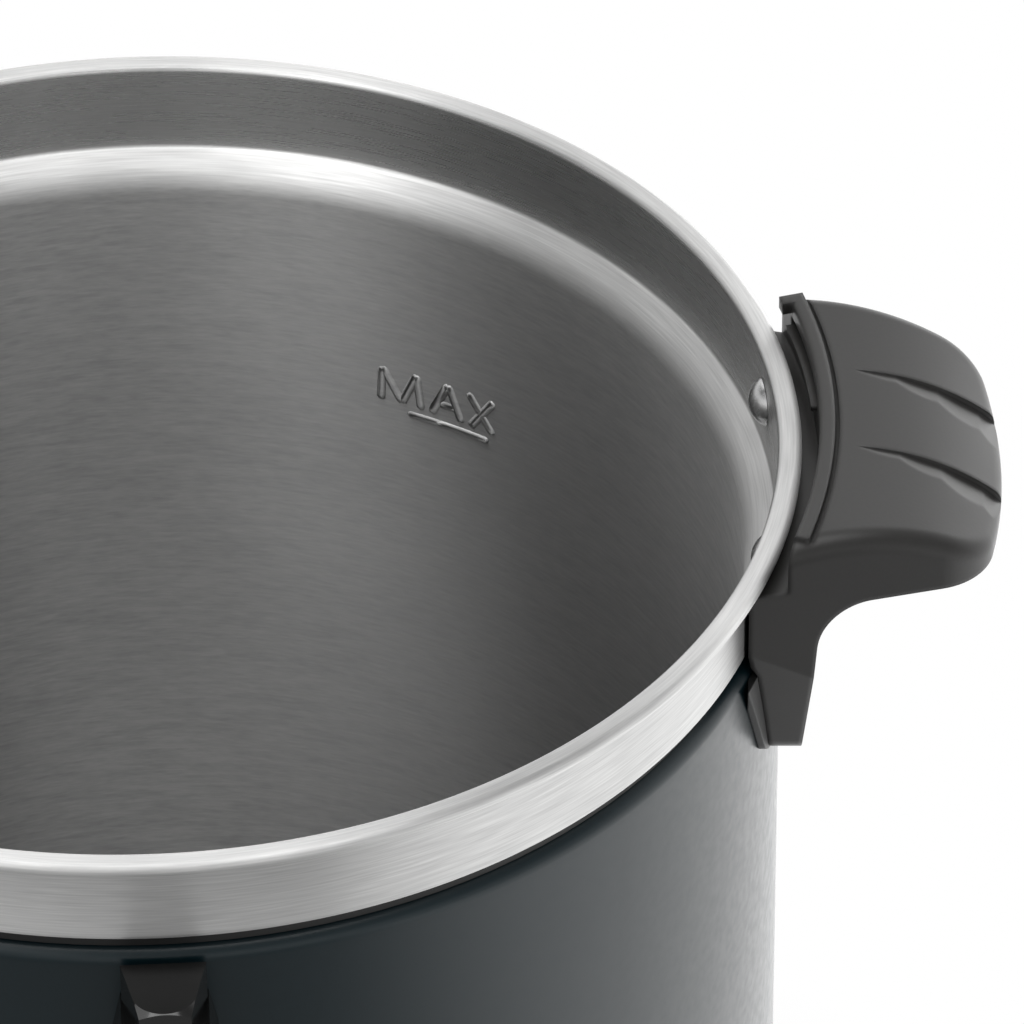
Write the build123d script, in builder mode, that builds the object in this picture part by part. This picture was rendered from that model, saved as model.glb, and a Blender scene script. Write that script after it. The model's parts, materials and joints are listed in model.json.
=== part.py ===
"""Hot water urn with a stainless tank, painted body, side handles, level gauge and lever tap."""
import os
from math import asin, cos, degrees, hypot, radians, sin, sqrt

from build123d import *

os.makedirs("parts", exist_ok=True)

# Overall sizes in millimetres
tank_radius = 119.0
tank_depth = 302.0
base_height = 78.0

# Sheet and clearances
tank_sheet = 1.0
body_sheet = 0.8
seat_gap = 0.05
run_gap = 0.05
move_gap = 0.4
hole_gap = 0.3
overrun = 6.0

# Tank and its rim
collar_step = 6.2
collar_height = 20.4
collar_round = 1.0
lip_width = 4.8
lip_hollow = 0.5
hem_gap = 0.9
ledge_drop = 4.2
ledge_round = 7.5
tank_floor = base_height
tank_seam = tank_floor + seat_gap
rim_height = tank_floor + tank_depth
tank_back = tank_radius + tank_sheet
collar_radius = tank_radius + collar_step
collar_face = collar_radius + tank_sheet
lip_radius = collar_radius + lip_width
lip_bend = tank_sheet + lip_hollow
ledge_high = rim_height - collar_height
ledge_low = ledge_high - ledge_drop
ledge_slope_share = ledge_drop / collar_step
ledge_shift = tank_sheet * (ledge_slope_share - hypot(1, ledge_slope_share))

# Painted body
body_proud = 0.1
neck_gap = 2.4
shoulder_gap = 0.8
shoulder_round = 3.3
seal_inset = 0.1
seal_width = 1.6
body_radius = collar_face + body_proud
body_inside = body_radius - body_sheet
neck_radius = tank_back + neck_gap
shoulder_height = ledge_low + ledge_shift + neck_gap * ledge_slope_share - shoulder_gap
seal_inner = neck_radius + seal_inset
seal_outer = seal_inner + seal_width

# Handles, turned a little from the cross axis, each the other's half-turn copy
handle_angle = -4.0
plate_drop = 6.0
plate_half = 43.5
leg_drop = 55.5
leg_top_drop = 20.0
leg_gap = 1.5
leg_foot_half = 31.0
leg_foot_round = 7.0
leg_foot_thick = 2.2
rail_gap = 3.4
rail_thick = 3.0
rail_rise = 5.9
rail_inset = 4.1
rail_edge_round = 1.0
rail_groove_width = 0.9
rail_groove_depth = 1.6
rail_slot_low = 0.4
rail_slot_high = 2.6
rail_slot_start_share = 0.24
rail_slot_depth = 1.8
rail_lip_reach = 1.2
rail_lip_low = -0.7
rail_hook_length = 2.6
rail_hook_reach = 1.9
rail_hook_low = 3.2
grip_reach = 39.5
grip_corner_reach = 35.0
grip_corner_half = 33.5
grip_corner_round = 13.0
grip_top_rise = 5.4
grip_top_radius = 49.6
grip_top_round = 4.0
grip_tip_thick = 1.8
grip_root_drop = 10.6
grip_root_round = 11.0
scoop_inset = 4.1
scoop_steps = 4
scoop_depth = 1.8
scoop_fade = 0.3
scoop_width = 12.0
scoop_start_share = 0.08
scoop_far_edges = (15.0, -9.5)
pad_margin = 2.2
pad_foot_drop = 54.0
rivet_spread = 24.75
rivet_drop = 10.4
rivet_radius = 2.4
rivet_head_radius = 5.0
rivet_head_rise = 2.8
rivet_reach = 4.6
rivet_seat = 0.15
handle_inner = collar_face + 2 * hole_gap
leg_inner = body_radius + leg_gap
rail_inner = lip_radius + rail_gap
rail_outer = rail_inner + rail_thick
rail_top = rim_height + rail_rise
rail_half_angle = degrees(asin((plate_half - rail_inset) / rail_outer))
rail_hook_angle = degrees(rail_hook_length / rail_outer)
rail_slot_start_angle = rail_slot_start_share * rail_half_angle
rivet_angle = degrees(asin(rivet_spread / collar_radius))
plate_outer = rail_inner
plate_top = rim_height - plate_drop
leg_top = rim_height - leg_top_drop
leg_foot = rim_height - leg_drop
grip_back = collar_radius - overrun
grip_corner = lip_radius + grip_corner_reach
grip_tip = lip_radius + grip_reach

# Base
base_low = 4.0
skirt_top = 20.0
skirt_thick = 2.1
skirt_taper = 0.6
web_low = 8.0
web_high = 11.0
web_width = 14.3
upstand_thick = 2.4
plate_thick = 1.3
plate_inset = 4.3
foot_radius = 10.0
foot_inset = 26.3
foot_count = 4
foot_spread_angle = 45.0
foot_screw = 2.25
foot_recess = 4.5
foot_recess_depth = 3.0
foot_edge_share = 0.2
vent_length = 26.0
vent_width = 4.0
vent_circle = 62.0
vent_count = 6
web_inner = body_radius - web_width
plate_radius = body_radius - plate_inset
foot_circle = body_radius - foot_inset

# Heating gear under the tank
heat_plate_inset = 34.0
heat_plate_thick = 6.0
element_inset = 15.0
element_tube = 4.0
element_gap_angle = 40.0
terminal_radius = 1.6
terminal_length = 14.0
sensor_radius = 9.0
sensor_height = 8.0
sensor_blade_width = 6.3
sensor_blade_thick = 0.8
sensor_blade_drop = 9.0
sensor_blade_spread = 5.0
cutout_radius = 12.0
cutout_height = 22.0
cutout_place = 40.0
reset_radius = 4.0
reset_show = 2.6
reset_stroke = 2.0
reset_length = 17.0
heat_plate_radius = tank_radius - heat_plate_inset
element_radius = heat_plate_radius - element_inset

# Control panel on the front
panel_rise = 26.0
dial_shaft_radius = 3.0
dial_plate_radius = 21.0
dial_plate_rise = 2.6
knob_radius = 17.0
knob_depth = 15.0
knob_round = 2.0
knob_bar_width = 7.0
knob_disc_depth = 6.0
knob_bar_round = 1.5
stat_half_width = 15.0
stat_half_height = 13.0
stat_depth = 24.0
stat_inset = 5.3
switch_angle = -114.0
switch_half_width = 8.5
switch_half_height = 12.2
switch_rise = 2.3
switch_pocket_half_width = 5.0
switch_pocket_half_height = 9.6
switch_pocket_depth = 10.0
switch_body_depth = 22.0
switch_body_inset = 1.2
rocker_half_width = 4.6
rocker_half_length = 8.4
rocker_end_rise = 5.5
rocker_mid_rise = 4.4
rocker_under = 3.0
rocker_hinge_depth = 5.0
rocker_tilt = 7.0
trunnion_radius = 1.5
trunnion_half = 6.4
lamp_angles = (-70.0, -60.0)
lamp_radius = 4.0
lamp_flange_radius = 5.4
lamp_flange_thick = 1.2
lamp_dome = 1.8
lamp_depth = 14.0
panel_height = skirt_top + panel_rise
stat_back = body_radius - stat_inset

# Mains inlet at the back
inlet_half_width = 16.0
inlet_half_height = 12.0
inlet_rise = 2.4
inlet_hollow_half_width = 12.3
inlet_hollow_half_height = 8.3
inlet_hollow_depth = 16.0
inlet_floor = 3.0
inlet_neck_inset = 1.6
inlet_pin_width = 4.0
inlet_pin_thick = 2.0
inlet_pin_length = 13.0
inlet_pin_spread = 7.0
inlet_pin_step = 2.0
inlet_tail = 8.0

# Level gauge
gauge_gap = 10.2
tube_outer = 5.0
tube_inner = 3.5
cap_drop = 25.0
cap_height = 9.0
cap_back_half = 8.1
cap_front_half = 4.9
cap_back_reach = 7.9
cap_front_reach = 6.4
cap_circle = 6.2
cap_slope_share = 0.58
cap_plug_length = 8.0
guard_half_width = 10.0
guard_top_half = 8.3
guard_flare = 8.0
guard_reach = 7.1
guard_corner = 3.0
guard_slot_half = 3.6
socket_radius = 6.4
socket_rise = 18.0
socket_depth = 6.0
gauge_ring_height = 1.4
guard_channel = tube_outer + 2 * hole_gap
gauge_place = body_radius + gauge_gap
guard_front = gauge_place + guard_reach

# Tap
tap_rise = 22.0
tap_reach = 33.7
tap_pipe_radius = 8.0
tap_pipe_bore = 5.0
tap_pipe_inset = 13.0
tap_flange_radius = 15.0
tap_flange_thick = 2.5
tap_gasket_thick = 2.7
tap_spacer_radius = 13.0
tap_nut_half = 13.0
tap_nut_sides = 6
tap_nut_thick = 6.0
barrel_radius = 11.0
barrel_bore = 7.5
barrel_drop = 14.0
barrel_rise = 26.0
seat_drop = 7.0
seat_radius = 4.0
spout_drop = 38.0
spout_radius = 6.5
spout_root = 9.0
spout_bore = 4.6
bonnet_radius = 12.5
bonnet_height = 8.0
bonnet_round = 1.6
valve_radius = 6.5
valve_height = 3.8
valve_socket = 2.4
stem_radius = 2.5
stem_head_radius = 4.2
stem_head_height = 2.6
pivot_rise = 16.0
pivot_reach = 8.0
pin_radius = 1.5
pin_half = 8.6
ear_inner = 5.0
ear_outer = 7.6
ear_half_depth = 4.0
fork_inner = 3.1
lever_half = 4.5
fork_pad = 2.0
fork_bar_half = 1.5
lever_eye = 4.0
lever_reach = 44.0
lever_rise = 10.0
lever_thick = 5.0
paddle_half = 9.0
paddle_start = 8.0
paddle_round = 4.0
spring_radius = 4.6
spring_wire = 0.6
spring_turns = 6
tap_height = tank_floor + tap_rise
tap_place = body_radius + tap_reach
tap_pipe_end = tank_radius - tap_pipe_inset
tap_gasket_face = body_radius + tap_gasket_thick
barrel_low = tap_height - barrel_drop
barrel_top = tap_height + barrel_rise
seat_height = tap_height - seat_drop
spout_low = tap_height - spout_drop
socket_top = tap_height + socket_rise
pivot_height = barrel_top + pivot_rise
pivot_place = tap_place + pivot_reach

# Turns in degrees
front_angle = -90.0
back_angle = 90.0
quarter_turn = 90.0
half_turn = 180.0
full_turn = 360.0


def radial_plane(angle, radius, height):
    """Plane that faces outward at an azimuth, with its own Y axis upright."""
    outward = (cos(radians(angle)), sin(radians(angle)), 0)
    across = (-sin(radians(angle)), cos(radians(angle)), 0)
    origin = (radius * outward[0], radius * outward[1], height)
    return Plane(origin=origin, x_dir=across, z_dir=outward)


def level_plane(angle, height):
    """Level plane on the axis whose X axis points along an azimuth."""
    outward = (cos(radians(angle)), sin(radians(angle)), 0)
    return Plane(origin=(0, 0, height), x_dir=outward, z_dir=(0, 0, 1))


def side_plane(angle, offset):
    """Upright plane through the axis, X along an azimuth and Y up, moved sideways by an offset."""
    outward = (cos(radians(angle)), sin(radians(angle)), 0)
    across = (sin(radians(angle)), -cos(radians(angle)), 0)
    origin = (offset * across[0], offset * across[1], 0)
    return Plane(origin=origin, x_dir=outward, z_dir=across)


def spin_plane(angle, radius, height):
    """Plane through a radial line, X outward along it and Y across it."""
    outward = (cos(radians(angle)), sin(radians(angle)), 0)
    origin = (radius * outward[0], radius * outward[1], height)
    return Plane(origin=origin, x_dir=outward, z_dir=(-sin(radians(angle)), cos(radians(angle)), 0))


def grip_top(place):
    """Height of the grip's arched top at a distance from the axis."""
    return rim_height + grip_top_rise - grip_top_radius + sqrt(grip_top_radius**2 - (place - rail_outer)**2)


# Tank wall with collar, rounded ledge and hemmed lip
with BuildPart() as inner_tank:
    with BuildSketch(Plane.XZ) as tank_profile:
        with BuildLine():
            Polyline(
                (tank_radius, tank_seam),
                (tank_radius, ledge_low),
                (collar_radius, ledge_high),
                (collar_radius, rim_height - lip_bend),
                (collar_face, rim_height - lip_bend),
                (collar_face, ledge_high + ledge_shift),
                (tank_back, ledge_low + ledge_shift),
                (tank_back, tank_seam),
                close=True,
            )
        make_face()
        corners = tank_profile.vertices()
        fillet(corners.sort_by_distance((tank_radius, ledge_low))[0], ledge_round)
        fillet(corners.sort_by_distance((tank_back, ledge_low + ledge_shift))[0], ledge_round - tank_sheet)
        fillet(corners.sort_by_distance((collar_radius, ledge_high))[0], collar_round)
        band_corner = corners.sort_by_distance((collar_face, ledge_high + ledge_shift))[0]
        fillet(band_corner, collar_round + tank_sheet)
        with BuildLine():
            bend_centre = (collar_radius + lip_bend, rim_height - lip_bend)
            hem_centre = (lip_radius - lip_bend, rim_height - lip_bend)
            hem_end = collar_face + hem_gap
            bend_out = CenterArc(bend_centre, lip_bend, half_turn, -quarter_turn)
            bend_in = CenterArc(bend_centre, lip_hollow, half_turn, -quarter_turn)
            hem_out = CenterArc(hem_centre, lip_bend, quarter_turn, -half_turn)
            hem_in = CenterArc(hem_centre, lip_hollow, quarter_turn, -half_turn)
            Line(bend_out @ 1, hem_out @ 0)
            Polyline(
                hem_out @ 1,
                (hem_end, rim_height - 2 * lip_bend),
                (hem_end, rim_height - lip_bend - lip_hollow),
                hem_in @ 1,
            )
            Line(hem_in @ 0, bend_in @ 1)
            Line(bend_in @ 0, bend_out @ 0)
        make_face()
    revolve(axis=Axis.Z)
    with BuildSketch(radial_plane(front_angle, tank_radius - overrun, tap_height)):
        Circle(tap_pipe_radius + hole_gap)
    extrude(amount=2 * overrun, mode=Mode.SUBTRACT)
    for side in (0, half_turn):
        for turn in (-rivet_angle, rivet_angle):
            rivet_turn = handle_angle + side + turn
            with BuildSketch(radial_plane(rivet_turn, collar_radius - overrun, rim_height - rivet_drop)):
                Circle(rivet_radius + seat_gap)
            extrude(amount=2 * overrun, mode=Mode.SUBTRACT)
inner_tank.part.label = "inner_tank"
export_step(inner_tank.part, "parts/inner_tank.step")

# Tank bottom, a plate set under the wall
with BuildPart() as tank_bottom:
    with BuildSketch(Plane.XY.offset(tank_floor - tank_sheet)):
        Circle(tank_back)
    extrude(amount=tank_sheet)
tank_bottom.part.label = "tank_bottom"
export_step(tank_bottom.part, "parts/tank_bottom.step")

# Painted body with its necked shoulder
with BuildPart() as body_shell:
    with BuildSketch(Plane.XZ) as shell_profile:
        with BuildLine():
            Polyline(
                (body_radius, web_high + seat_gap),
                (body_radius, shoulder_height),
                (neck_radius, shoulder_height),
                (neck_radius, shoulder_height - body_sheet),
                (body_inside, shoulder_height - body_sheet),
                (body_inside, web_high + seat_gap),
                close=True,
            )
        make_face()
        corners = shell_profile.vertices()
        fillet(corners.sort_by_distance((body_radius, shoulder_height))[0], shoulder_round)
        inside_corner = (body_inside, shoulder_height - body_sheet)
        fillet(corners.sort_by_distance(inside_corner)[0], shoulder_round - body_sheet)
    revolve(axis=Axis.Z)
    with BuildSketch(radial_plane(front_angle, body_radius - overrun, tap_height)):
        Circle(tap_pipe_radius + hole_gap)
    with BuildSketch(radial_plane(front_angle, body_radius - overrun, panel_height)):
        Circle(dial_shaft_radius + 2 * move_gap)
    with BuildSketch(radial_plane(switch_angle, body_radius - overrun, panel_height)):
        Rectangle(2 * (switch_half_width - switch_body_inset), 2 * (switch_half_height - switch_body_inset))
    for lamp_angle in lamp_angles:
        with BuildSketch(radial_plane(lamp_angle, body_radius - overrun, panel_height)):
            Circle(lamp_radius)
    with BuildSketch(radial_plane(back_angle, body_radius - overrun, panel_height)):
        Rectangle(2 * (inlet_half_width - inlet_neck_inset), 2 * (inlet_half_height - inlet_neck_inset))
    extrude(amount=2 * overrun, mode=Mode.SUBTRACT)
body_shell.part.label = "body_shell"
export_step(body_shell.part, "parts/body_shell.step")

# Seal between the ledge and the shoulder
with BuildPart() as rim_seal:
    seal_top_inner = ledge_low + (seal_inner - tank_radius) * ledge_slope_share
    seal_top_outer = ledge_low + (seal_outer - tank_radius) * ledge_slope_share
    seal_sink = tank_sheet * hypot(1, ledge_slope_share) + hole_gap
    with BuildSketch(Plane.XZ):
        with BuildLine():
            Polyline(
                (seal_inner, shoulder_height + seat_gap),
                (seal_outer, shoulder_height + seat_gap),
                (seal_outer, seal_top_outer - seal_sink),
                (seal_inner, seal_top_inner - seal_sink),
                close=True,
            )
        make_face()
    revolve(axis=Axis.Z)
rim_seal.part.label = "rim_seal"
export_step(rim_seal.part, "parts/rim_seal.step")

# Right handle: arched wing with scoops, leg, plate on the collar, lid rail with slot, lip and hook
with BuildPart() as right_handle:
    with BuildSketch(level_plane(handle_angle, leg_foot)) as wing_plan:
        with BuildLine():
            ThreePointArc((grip_corner, -grip_corner_half), (grip_tip, 0), (grip_corner, grip_corner_half))
            Polyline(
                (grip_corner, grip_corner_half),
                (grip_back, plate_half),
                (grip_back, -plate_half),
                (grip_corner, -grip_corner_half),
            )
        make_face()
        fillet(wing_plan.vertices().group_by(Axis.X)[-1], grip_corner_round)
    extrude(amount=leg_drop + rail_rise)
    with BuildSketch(side_plane(handle_angle, 0)) as wing_side:
        with BuildLine():
            wing_end = grip_tip + move_gap
            wing_arch = ThreePointArc(
                (grip_back, grip_top(grip_back)),
                (rail_outer, grip_top(rail_outer)),
                (wing_end, grip_top(wing_end)),
            )
            Polyline(
                wing_arch @ 1,
                (wing_end, grip_top(wing_end) - grip_tip_thick),
                (plate_outer, rim_height - grip_root_drop),
                (leg_inner + leg_foot_thick, leg_foot),
                (grip_back, leg_foot),
                wing_arch @ 0,
            )
        make_face()
        wing_root = (plate_outer, rim_height - grip_root_drop)
        fillet(wing_side.vertices().sort_by_distance(wing_root)[0], grip_root_round)
    extrude(amount=plate_half + overrun, both=True, mode=Mode.INTERSECT)
    with BuildSketch(radial_plane(handle_angle, grip_back, 0)) as wing_front:
        with BuildLine():
            Polyline(
                (-plate_half, rail_top),
                (-plate_half, leg_top),
                (-leg_foot_half, leg_foot),
                (leg_foot_half, leg_foot),
                (plate_half, leg_top),
                (plate_half, rail_top),
                close=True,
            )
        make_face()
        fillet(wing_front.vertices().group_by(Axis.Y)[0], leg_foot_round)
    extrude(amount=grip_tip - grip_back + overrun, mode=Mode.INTERSECT)
    arch_spot = level_plane(handle_angle, grip_top(grip_corner)).from_local_coords((grip_corner, 0, 0))
    back_spot = level_plane(handle_angle, grip_top(grip_back)).from_local_coords((grip_back, 0, 0))
    arch_face = right_handle.faces().sort_by_distance(arch_spot)[0]
    fillet(arch_face.edges().sort_by_distance(back_spot)[1:], grip_top_round)
    with BuildSketch(level_plane(handle_angle, rail_top - rail_groove_depth)):
        with BuildLine():
            groove_out = CenterArc((0, 0), rail_outer + rail_groove_width, -rail_half_angle, 2 * rail_half_angle)
            groove_in = CenterArc((0, 0), grip_back - overrun, -rail_half_angle, 2 * rail_half_angle)
            Line(groove_out @ 0, groove_in @ 0)
            Line(groove_out @ 1, groove_in @ 1)
        make_face()
    extrude(amount=rail_rise + overrun, mode=Mode.SUBTRACT)
    with BuildSketch(level_plane(handle_angle, plate_top - plate_drop)):
        with BuildLine():
            rail_out = CenterArc((0, 0), rail_outer, -rail_half_angle, 2 * rail_half_angle)
            rail_in = CenterArc((0, 0), handle_inner, -rail_half_angle, 2 * rail_half_angle)
            Line(rail_out @ 0, rail_in @ 0)
            Line(rail_out @ 1, rail_in @ 1)
        make_face()
    extrude(amount=2 * plate_drop + rail_rise)
    with BuildSketch(Plane.XZ):
        with BuildLine():
            rail_edge_centre = (rail_inner + rail_edge_round, rail_top - rail_edge_round)
            rail_edge = CenterArc(rail_edge_centre, rail_edge_round, half_turn, -quarter_turn)
            Polyline(
                (0, leg_foot - overrun),
                (leg_inner, leg_foot - overrun),
                (leg_inner, shoulder_height - shoulder_round + hole_gap),
                (handle_inner, shoulder_height),
                (handle_inner, plate_top),
                (rail_inner, plate_top),
                rail_edge @ 0,
            )
            Polyline(
                rail_edge @ 1,
                (rail_inner + rail_edge_round, rail_top + overrun),
                (0, rail_top + overrun),
                (0, leg_foot - overrun),
            )
        make_face()
    revolve(axis=Axis.Z, mode=Mode.SUBTRACT)
    hook_end = rail_half_angle - rail_hook_angle
    with BuildSketch(level_plane(handle_angle, rim_height + rail_hook_low)):
        with BuildLine():
            hook_out = CenterArc((0, 0), rail_outer, hook_end, rail_hook_angle)
            hook_in = CenterArc((0, 0), rail_inner - rail_hook_reach, hook_end, rail_hook_angle)
            Line(hook_out @ 0, hook_in @ 0)
            Line(hook_out @ 1, hook_in @ 1)
        make_face()
    extrude(amount=rail_rise - rail_hook_low)
    lip_length_angle = hook_end - rail_slot_start_angle
    slot_back = rail_inner + rail_slot_depth
    slot_mouth = rail_inner - rail_slot_depth
    with BuildSketch(level_plane(handle_angle, rim_height + rail_lip_low)):
        with BuildLine():
            lip_out = CenterArc((0, 0), slot_back, rail_slot_start_angle, lip_length_angle)
            lip_in = CenterArc((0, 0), rail_inner - rail_lip_reach, rail_slot_start_angle, lip_length_angle)
            Line(lip_out @ 0, lip_in @ 0)
            Line(lip_out @ 1, lip_in @ 1)
        make_face()
    extrude(amount=rail_slot_low - rail_lip_low)
    with BuildSketch(level_plane(handle_angle, rim_height + rail_slot_low)):
        with BuildLine():
            slot_out = CenterArc((0, 0), slot_back, rail_slot_start_angle, lip_length_angle)
            slot_in = CenterArc((0, 0), slot_mouth, rail_slot_start_angle, lip_length_angle)
            Line(slot_out @ 0, slot_in @ 0)
            Line(slot_out @ 1, slot_in @ 1)
        make_face()
    extrude(amount=rail_slot_high - rail_slot_low, mode=Mode.SUBTRACT)
    for far_edge in scoop_far_edges:
        for step in range(scoop_steps + 1):
            step_share = step / scoop_steps
            place = rail_outer + scoop_inset + step_share * (grip_tip - rail_outer)
            near_edge = far_edge - scoop_width * (scoop_start_share + (1 - scoop_start_share) * step_share)
            with BuildSketch(radial_plane(handle_angle, place, 0)):
                with BuildLine():
                    Polyline(
                        (far_edge, rail_top + overrun),
                        (far_edge, grip_top(place) - step_share * scoop_depth),
                        (near_edge, grip_top(place) + scoop_fade),
                        (near_edge, rail_top + overrun),
                        close=True,
                    )
                make_face()
        loft(ruled=True, mode=Mode.SUBTRACT)
    for turn in (-rivet_angle, rivet_angle):
        with BuildSketch(radial_plane(handle_angle + turn, collar_radius, rim_height - rivet_drop)):
            Circle(rivet_radius + seat_gap)
        extrude(amount=tank_sheet + rivet_reach + seat_gap, mode=Mode.SUBTRACT)
right_handle.part.label = "right_handle"
export_step(right_handle.part, "parts/right_handle.step")

# Left handle, the same moulding turned half round
with BuildPart() as left_handle:
    add(right_handle.part, rotation=(0, 0, half_turn))
left_handle.part.label = "left_handle"
export_step(left_handle.part, "parts/left_handle.step")

# Soft pad between the right handle's leg and the body
pad_inner = body_radius + seat_gap
with BuildPart() as right_pad:
    with BuildSketch(radial_plane(handle_angle, collar_radius - overrun, 0)) as pad_outline:
        with BuildLine():
            Polyline(
                (-plate_half - pad_margin, shoulder_height - shoulder_round),
                (-leg_foot_half - pad_margin, rim_height - pad_foot_drop),
                (leg_foot_half + pad_margin, rim_height - pad_foot_drop),
                (plate_half + pad_margin, shoulder_height - shoulder_round),
                close=True,
            )
        make_face()
        fillet(pad_outline.vertices().group_by(Axis.Y)[0], leg_foot_round)
    extrude(amount=leg_inner - collar_radius + 2 * overrun)
    with BuildSketch(Plane.XY.offset(leg_foot)):
        Circle(leg_inner - seat_gap)
        Circle(pad_inner, mode=Mode.SUBTRACT)
    extrude(amount=leg_drop, mode=Mode.INTERSECT)
right_pad.part.label = "right_pad"
export_step(right_pad.part, "parts/right_pad.step")

# Soft pad between the left handle's leg and the body
with BuildPart() as left_pad:
    add(right_pad.part, rotation=(0, 0, half_turn))
left_pad.part.label = "left_pad"
export_step(left_pad.part, "parts/left_pad.step")

# Domed rivet at the back of the right handle
with BuildPart() as right_rivet_back:
    rivet_line = spin_plane(handle_angle + rivet_angle, collar_radius, rim_height - rivet_drop)
    with BuildSketch(rivet_line):
        with BuildLine():
            rivet_tip = (-rivet_seat - rivet_head_rise, 0)
            rivet_dome = TangentArc(rivet_tip, (-rivet_seat, rivet_head_radius), tangent=(0, 1))
            Polyline(
                rivet_dome @ 1,
                (-rivet_seat, rivet_radius),
                (tank_sheet + rivet_reach, rivet_radius),
                (tank_sheet + rivet_reach, 0),
                rivet_dome @ 0,
            )
        make_face()
    revolve(axis=Axis(rivet_line.origin, rivet_line.x_dir))
right_rivet_back.part.label = "right_rivet_back"
export_step(right_rivet_back.part, "parts/right_rivet_back.step")

# Domed rivet at the front of the right handle
with BuildPart() as right_rivet_front:
    add(right_rivet_back.part, rotation=(0, 0, -2 * rivet_angle))
right_rivet_front.part.label = "right_rivet_front"
export_step(right_rivet_front.part, "parts/right_rivet_front.step")

# Domed rivet at the front of the left handle
with BuildPart() as left_rivet_front:
    add(right_rivet_back.part, rotation=(0, 0, half_turn))
left_rivet_front.part.label = "left_rivet_front"
export_step(left_rivet_front.part, "parts/left_rivet_front.step")

# Domed rivet at the back of the left handle
with BuildPart() as left_rivet_back:
    add(right_rivet_back.part, rotation=(0, 0, half_turn - 2 * rivet_angle))
left_rivet_back.part.label = "left_rivet_back"
export_step(left_rivet_back.part, "parts/left_rivet_back.step")

# Base skirt with a groove for the body's lower edge
upstand_outer = body_inside - hole_gap
skirt_inner = body_radius + hole_gap
skirt_outer = skirt_inner + skirt_thick
with BuildPart() as base_skirt:
    with BuildSketch(Plane.XZ):
        with BuildLine():
            Polyline(
                (skirt_inner, base_low),
                (skirt_outer + skirt_taper, base_low),
                (skirt_outer, skirt_top),
                (skirt_inner, skirt_top),
                (skirt_inner, web_high),
                (upstand_outer, web_high),
                (upstand_outer, skirt_top),
                (upstand_outer - upstand_thick, skirt_top),
                (upstand_outer - upstand_thick, web_high),
                (web_inner, web_high),
                (web_inner, web_low),
                (skirt_inner, web_low),
                close=True,
            )
        make_face()
    revolve(axis=Axis.Z)
base_skirt.part.label = "base_skirt"
export_step(base_skirt.part, "parts/base_skirt.step")

# Bottom plate with air slots and the reset hole
plate_high = web_low - seat_gap
plate_low = plate_high - plate_thick
with BuildPart() as base_plate:
    with BuildSketch(Plane.XY.offset(plate_low)):
        Circle(plate_radius)
        with PolarLocations(vent_circle, vent_count):
            SlotOverall(vent_length, vent_width, rotation=quarter_turn, mode=Mode.SUBTRACT)
        with Locations((0, cutout_place)):
            Circle(reset_radius + move_gap, mode=Mode.SUBTRACT)
        with PolarLocations(foot_circle, foot_count, start_angle=foot_spread_angle):
            Circle(foot_screw, mode=Mode.SUBTRACT)
    extrude(amount=plate_thick)
base_plate.part.label = "base_plate"
export_step(base_plate.part, "parts/base_plate.step")

# Rubber foot, front right
foot_height = plate_low - seat_gap
foot_x = foot_circle * cos(radians(foot_spread_angle))
foot_y = foot_circle * sin(radians(foot_spread_angle))
with BuildPart() as foot_front_right:
    with BuildSketch(Plane.XY):
        with Locations((foot_x, -foot_y)):
            Circle(foot_radius)
    extrude(amount=foot_height)
    chamfer(foot_front_right.edges().sort_by(Axis.Z)[0], foot_edge_share * foot_height)
    with BuildSketch(Plane.XY):
        with Locations((foot_x, -foot_y)):
            Circle(foot_screw)
    extrude(amount=foot_height, mode=Mode.SUBTRACT)
    with BuildSketch(Plane.XY.offset(foot_height)):
        with Locations((foot_x, -foot_y)):
            Circle(foot_recess)
    extrude(amount=-foot_recess_depth, mode=Mode.SUBTRACT)
foot_front_right.part.label = "foot_front_right"
export_step(foot_front_right.part, "parts/foot_front_right.step")

# Rubber foot, front left
with BuildPart() as foot_front_left:
    add(foot_front_right.part, rotation=(0, 0, -2 * foot_spread_angle))
foot_front_left.part.label = "foot_front_left"
export_step(foot_front_left.part, "parts/foot_front_left.step")

# Rubber foot, back left
with BuildPart() as foot_back_left:
    add(foot_front_right.part, rotation=(0, 0, half_turn))
foot_back_left.part.label = "foot_back_left"
export_step(foot_back_left.part, "parts/foot_back_left.step")

# Rubber foot, back right
with BuildPart() as foot_back_right:
    add(foot_front_right.part, rotation=(0, 0, 2 * foot_spread_angle))
foot_back_right.part.label = "foot_back_right"
export_step(foot_back_right.part, "parts/foot_back_right.step")

# Heat spreader plate under the tank floor
heat_top = tank_floor - tank_sheet - seat_gap
heat_low = heat_top - heat_plate_thick
with BuildPart() as heat_plate:
    with BuildSketch(Plane.XY.offset(heat_low)):
        Circle(heat_plate_radius)
    extrude(amount=heat_plate_thick)
heat_plate.part.label = "heat_plate"
export_step(heat_plate.part, "parts/heat_plate.step")

# Tubular heating element with its two terminals
element_height = heat_low - seat_gap - element_tube
with BuildPart() as heating_element:
    with BuildSketch(side_plane(back_angle + element_gap_angle / 2, 0)):
        with Locations((element_radius, element_height)):
            Circle(element_tube)
    revolve(axis=Axis.Z, revolution_arc=full_turn - element_gap_angle)
    for end_angle in (back_angle - element_gap_angle / 2, back_angle + element_gap_angle / 2):
        end_x = element_radius * cos(radians(end_angle))
        end_y = element_radius * sin(radians(end_angle))
        with BuildSketch(Plane.XY.offset(element_height)):
            with Locations((end_x, end_y)):
                Circle(element_tube)
        extrude(amount=-element_tube)
        with BuildSketch(Plane.XY.offset(element_height)):
            with Locations((end_x, end_y)):
                Circle(terminal_radius)
        extrude(amount=-element_tube - terminal_length)
heating_element.part.label = "heating_element"
export_step(heating_element.part, "parts/heating_element.step")

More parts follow.
